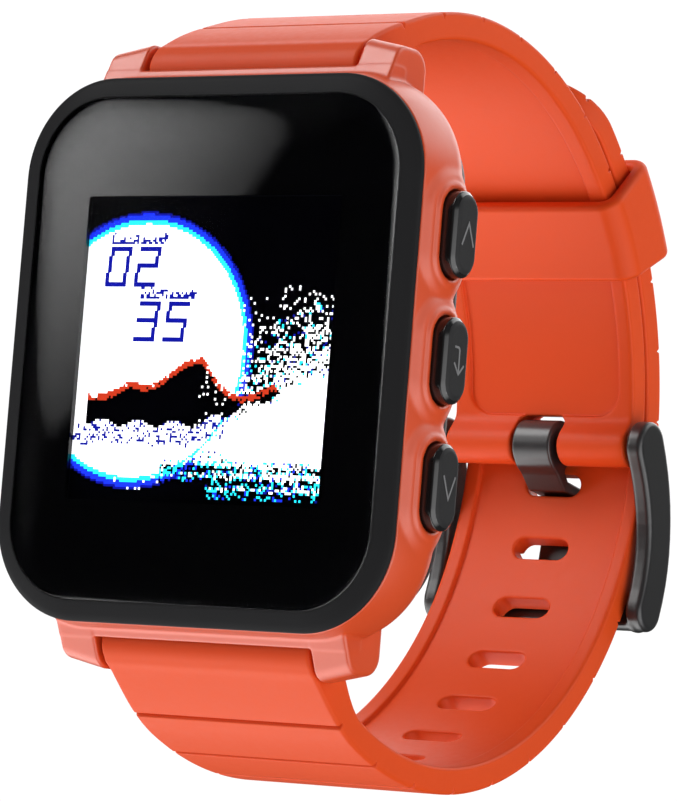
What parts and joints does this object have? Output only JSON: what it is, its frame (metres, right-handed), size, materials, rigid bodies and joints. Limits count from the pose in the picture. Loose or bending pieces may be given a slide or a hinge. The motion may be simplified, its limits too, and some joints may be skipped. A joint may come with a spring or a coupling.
{
  "type": "gps running watch",
  "caption": "Squarish digital sports watch with side buttons on a buckled silicone strap with spring bars, pin buckle and sliding keeper.",
  "frame": {"origin": "centre of the case back's flat face, where the watch rests on the wrist", "axes": "+Y out of the case back towards the wrist, +Z towards 12 o'clock, +X towards 3 o'clock"},
  "size_m": [0.0408, 0.0561, 0.0616],
  "materials": {
    "orange_case": "satin",
    "black_bezel": "gloss",
    "lens_glass": "gloss",
    "orange_rubber": "matte",
    "black_rubber": "matte",
    "black_plastic": "satin",
    "black_metal": "satin",
    "steel": "brushed",
    "gold": "polished",
    "lcd": "gloss",
    "white_plastic": "satin",
    "board": "satin",
    "amber_film": "satin",
    "ceramic": "matte",
    "battery_foil": "satin"
  },
  "bodies": {
    "case": {"case_body": "orange_case", "bezel_ring": "black_bezel", "lens": "lens_glass", "lens_gasket": "black_rubber", "lcd_panel": "lcd", "backlight_unit": "white_plastic", "inner_frame": "black_plastic", "main_board": "board", "rf_shield": "steel", "gps_antenna": "ceramic", "battery": "battery_foil", "battery_pad": "white_plastic", "vibration_motor": "steel", "display_flex": "amber_film", "side_switch_flex": "amber_film", "tact_switches": "steel", "button_seals": "black_rubber", "back_gasket": "black_rubber", "back_cover": "black_plastic", "back_screws": "steel", "charging_contacts": "gold", "upper_bar_tube": "steel", "upper_bar_spring": "steel", "lower_bar_tube": "steel", "lower_bar_spring": "steel"},
    "up_button": {"up_button": "black_plastic", "up_button_clip": "steel"},
    "enter_button": {"enter_button": "black_plastic", "enter_button_clip": "steel"},
    "down_button": {"down_button": "black_plastic", "down_button_clip": "steel"},
    "light_button": {"light_button": "black_plastic", "light_button_clip": "steel"},
    "upper_bar_left_tip": {"upper_bar_left_tip": "steel"},
    "upper_bar_right_tip": {"upper_bar_right_tip": "steel"},
    "lower_bar_left_tip": {"lower_bar_left_tip": "steel"},
    "lower_bar_right_tip": {"lower_bar_right_tip": "steel"},
    "strap_top": {"strap_upper_root": "orange_rubber"},
    "strap_back": {"strap_upper": "orange_rubber", "strap_lower": "orange_rubber", "buckle_bar": "black_metal"},
    "strap_bottom": {"strap_lower_root": "orange_rubber"},
    "keeper": {"strap_keeper": "orange_rubber"},
    "frame": {"buckle_frame": "black_metal"},
    "tongue": {"buckle_tongue": "black_metal"}
  },
  "joints": [
    {"name": "up_press", "type": "slide", "parent": "case", "child": "up_button", "axis": [-1, 0, 0], "range_m": [0, 0.00045], "stiffness_N_per_m": 2500},
    {"name": "enter_press", "type": "slide", "parent": "case", "child": "enter_button", "axis": [-1, 0, 0], "range_m": [0, 0.00045], "stiffness_N_per_m": 2500},
    {"name": "down_press", "type": "slide", "parent": "case", "child": "down_button", "axis": [-1, 0, 0], "range_m": [0, 0.00045], "stiffness_N_per_m": 2500},
    {"name": "light_press", "type": "slide", "parent": "case", "child": "light_button", "axis": [1, 0, 0], "range_m": [0, 0.00045], "stiffness_N_per_m": 2500},
    {"name": "upper_left_tip_slide", "type": "slide", "parent": "case", "child": "upper_bar_left_tip", "axis": [1, 0, 0], "range_m": [0, 0.0009], "stiffness_N_per_m": 1000},
    {"name": "upper_right_tip_slide", "type": "slide", "parent": "case", "child": "upper_bar_right_tip", "axis": [-1, 0, 0], "range_m": [0, 0.0009], "stiffness_N_per_m": 1000},
    {"name": "lower_left_tip_slide", "type": "slide", "parent": "case", "child": "lower_bar_left_tip", "axis": [1, 0, 0], "range_m": [0, 0.0009], "stiffness_N_per_m": 1000},
    {"name": "lower_right_tip_slide", "type": "slide", "parent": "case", "child": "lower_bar_right_tip", "axis": [-1, 0, 0], "range_m": [0, 0.0009], "stiffness_N_per_m": 1000},
    {"name": "strap_swing", "type": "hinge", "parent": "case", "child": "strap_top", "pos_m": [0, -0.0046, 0.0224], "axis": [1, 0, 0], "range_deg": [-5, 5], "stiffness_Nm_per_rad": 0.3},
    {"name": "upper_bend", "type": "hinge", "parent": "strap_top", "child": "strap_back", "pos_m": [0, 0.01737, 0.02786], "axis": [1, 0, 0], "range_deg": [-4, 4]},
    {"name": "lower_bend", "type": "hinge", "parent": "strap_back", "child": "strap_bottom", "pos_m": [0, 0.01597, -0.03107], "axis": [1, 0, 0], "range_deg": [-4.2, 4.2]},
    {"name": "keeper_slide", "type": "hinge", "parent": "strap_back", "child": "keeper", "pos_m": [0, 0.0123, -0.0009], "axis": [1, 0, 0], "range_deg": [-18, 13]},
    {"name": "frame_turn", "type": "hinge", "parent": "strap_back", "child": "frame", "pos_m": [0, 0.04078, -0.00189], "axis": [1, 0, 0], "range_deg": [0, 5]},
    {"name": "tongue_turn", "type": "hinge", "parent": "frame", "child": "tongue", "pos_m": [0, 0.04078, -0.00189], "axis": [1, 0, 0], "range_deg": [0, 7]}
  ],
  "couplings": [
    {"joint": "upper_bend", "follows": "strap_swing", "ratio": -0.75283},
    {"joint": "lower_bend", "follows": "strap_swing", "ratio": 0.80432}
  ]
}
